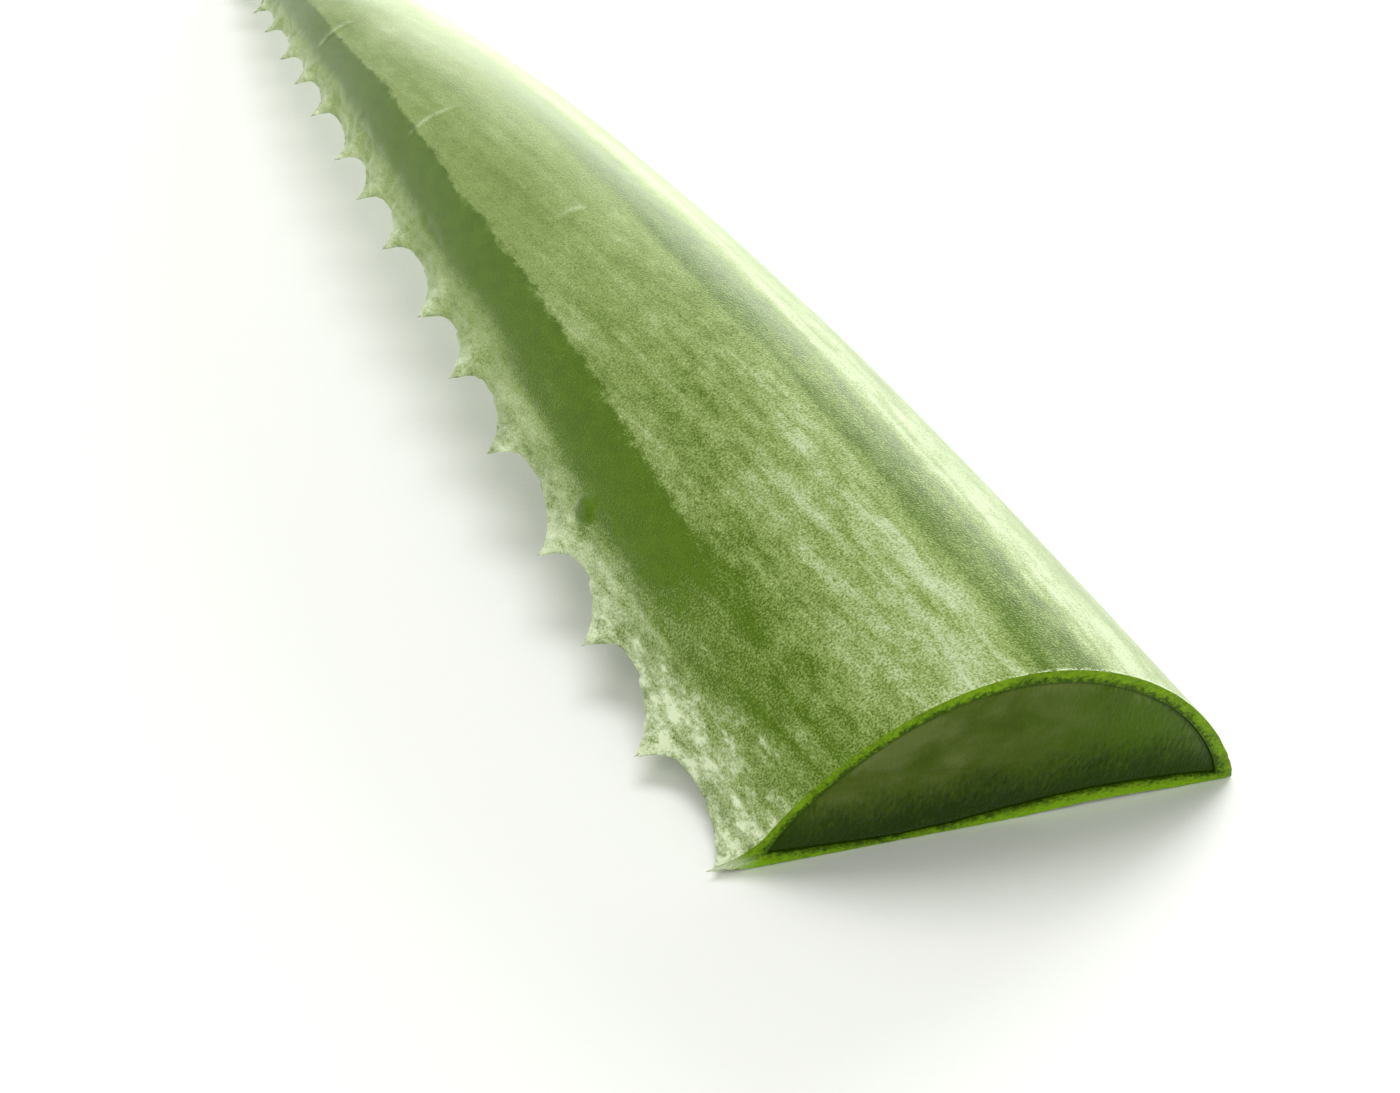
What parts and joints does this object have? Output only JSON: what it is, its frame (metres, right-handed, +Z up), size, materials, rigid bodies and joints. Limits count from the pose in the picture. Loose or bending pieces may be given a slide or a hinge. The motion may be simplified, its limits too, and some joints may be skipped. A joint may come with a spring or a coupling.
{
  "type": "aloe vera leaf",
  "caption": "Cut aloe vera leaf lying on its flat side: plump, tapering, toothed along both margins, with green skin round clear gel.",
  "frame": {"origin": "on the small flat of the underside that the leaf rests on, under the middle of the cut and 3 mm in from it", "axes": "+Y along the leaf from the cut to the tip, +Z up from the flat underside to the rounded back, +X to the right as seen from the cut"},
  "size_m": [0.0766, 0.4298, 0.0374],
  "materials": {
    "rind": "satin",
    "gel": "gloss"
  },
  "bodies": {
    "root": {"rind": "rind", "gel": "gel"}
  },
  "joints": []
}
